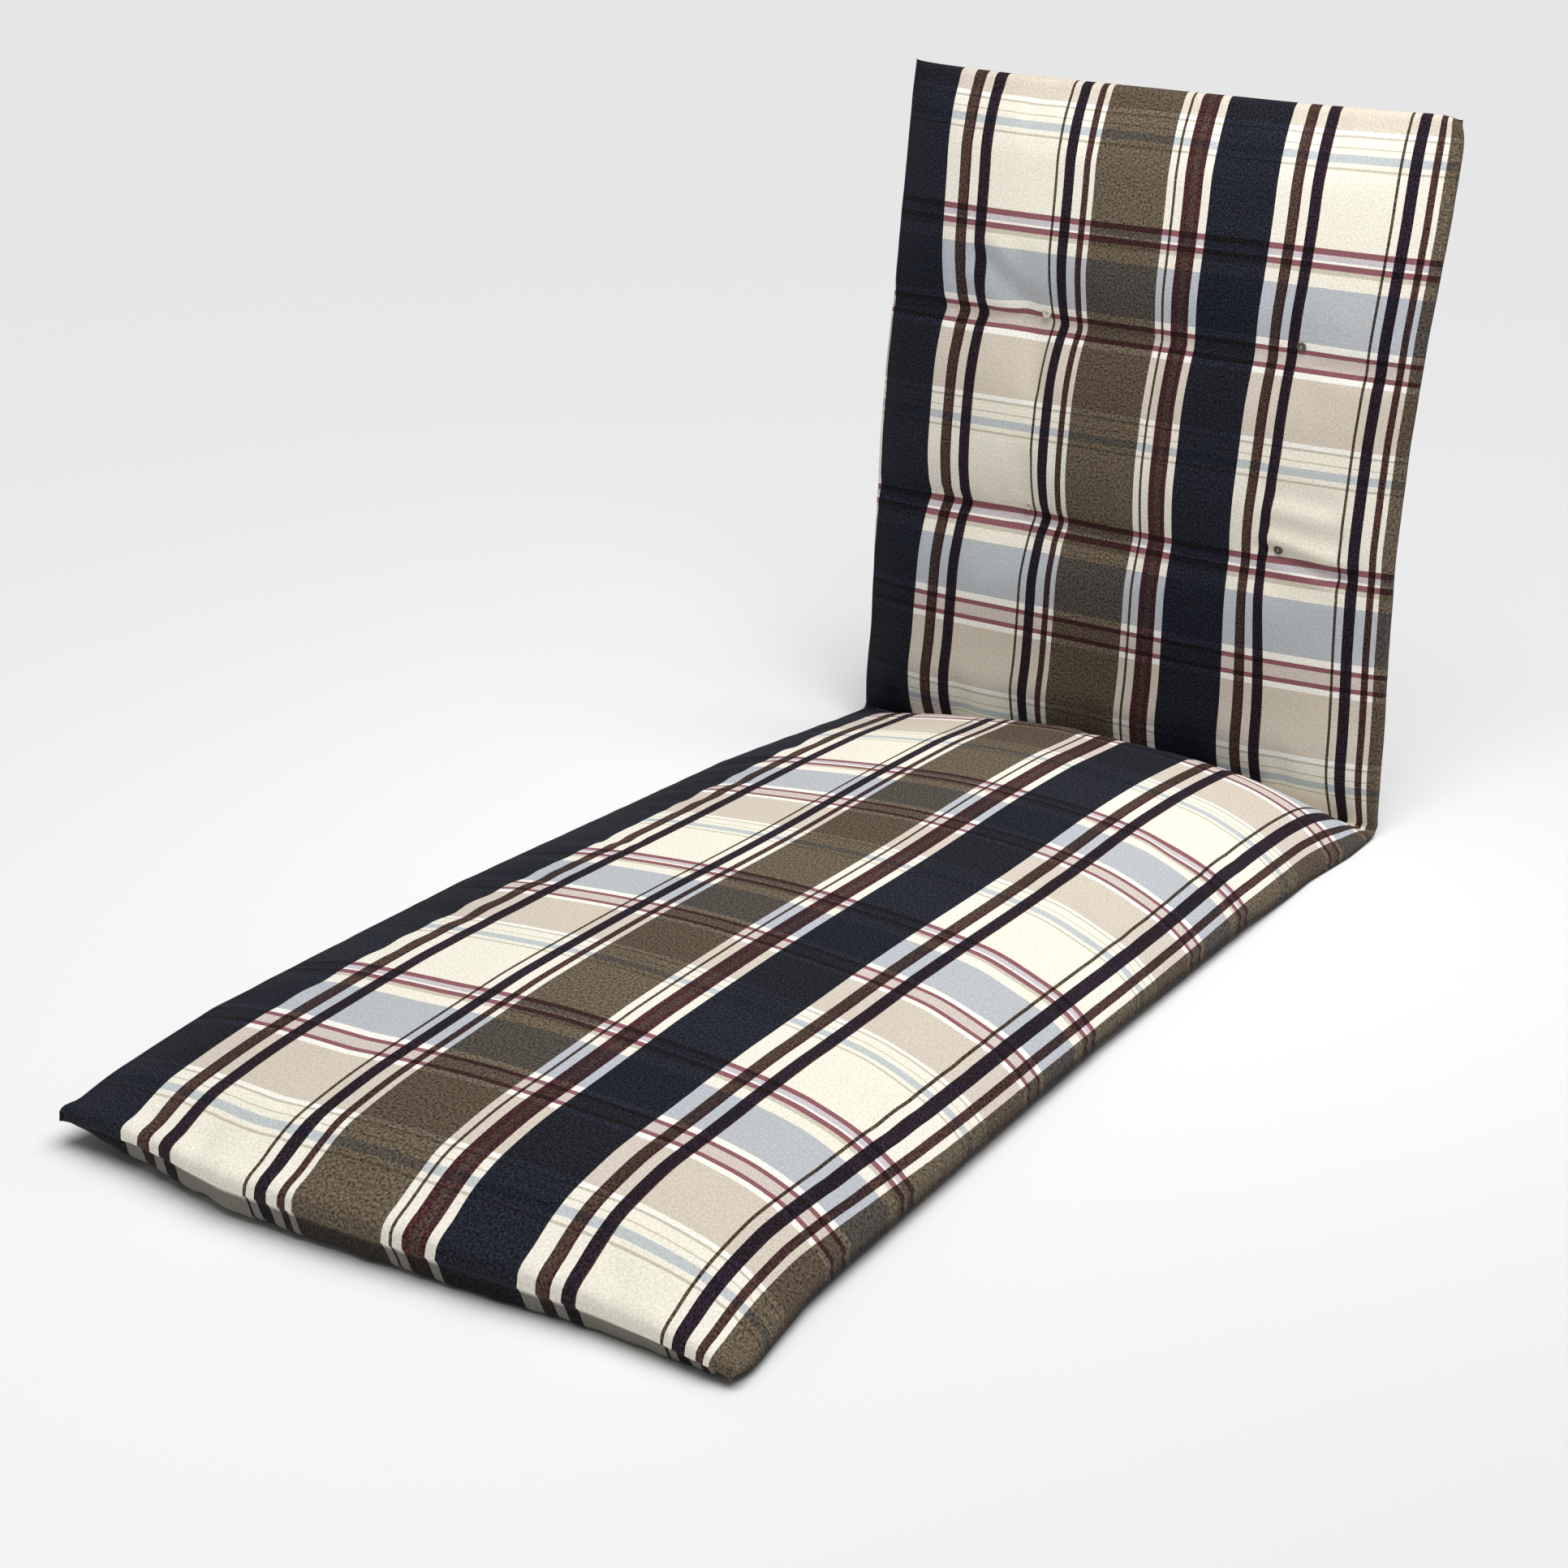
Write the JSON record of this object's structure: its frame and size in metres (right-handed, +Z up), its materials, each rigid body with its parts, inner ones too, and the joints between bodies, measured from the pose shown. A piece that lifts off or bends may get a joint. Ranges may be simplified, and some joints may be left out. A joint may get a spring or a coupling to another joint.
{
  "type": "sun lounger cushion",
  "caption": "Long filled cushion in checked cloth, sewn across at its fold into a flat seat and an upright back with tufted rows.",
  "frame": {"origin": "on the floor, under the middle of the cushion's box", "axes": "+Z up; +Y from the foot end of the seat towards the back; +X to the right of someone who looks at the back from the foot end"},
  "size_m": [0.6, 1.2694, 0.7154],
  "materials": {
    "check_cloth": "matt woven cotton in a navy, olive, cream, blue-grey and wine check",
    "tuft_button": "small cream button, satin",
    "dark_button": "small dark button, satin"
  },
  "bodies": {
    "root": {"cushion": "check_cloth", "tuft_button_left_lower": "tuft_button", "tuft_button_left_upper": "tuft_button", "tuft_button_right_lower": "dark_button", "tuft_button_right_upper": "dark_button"}
  },
  "joints": []
}
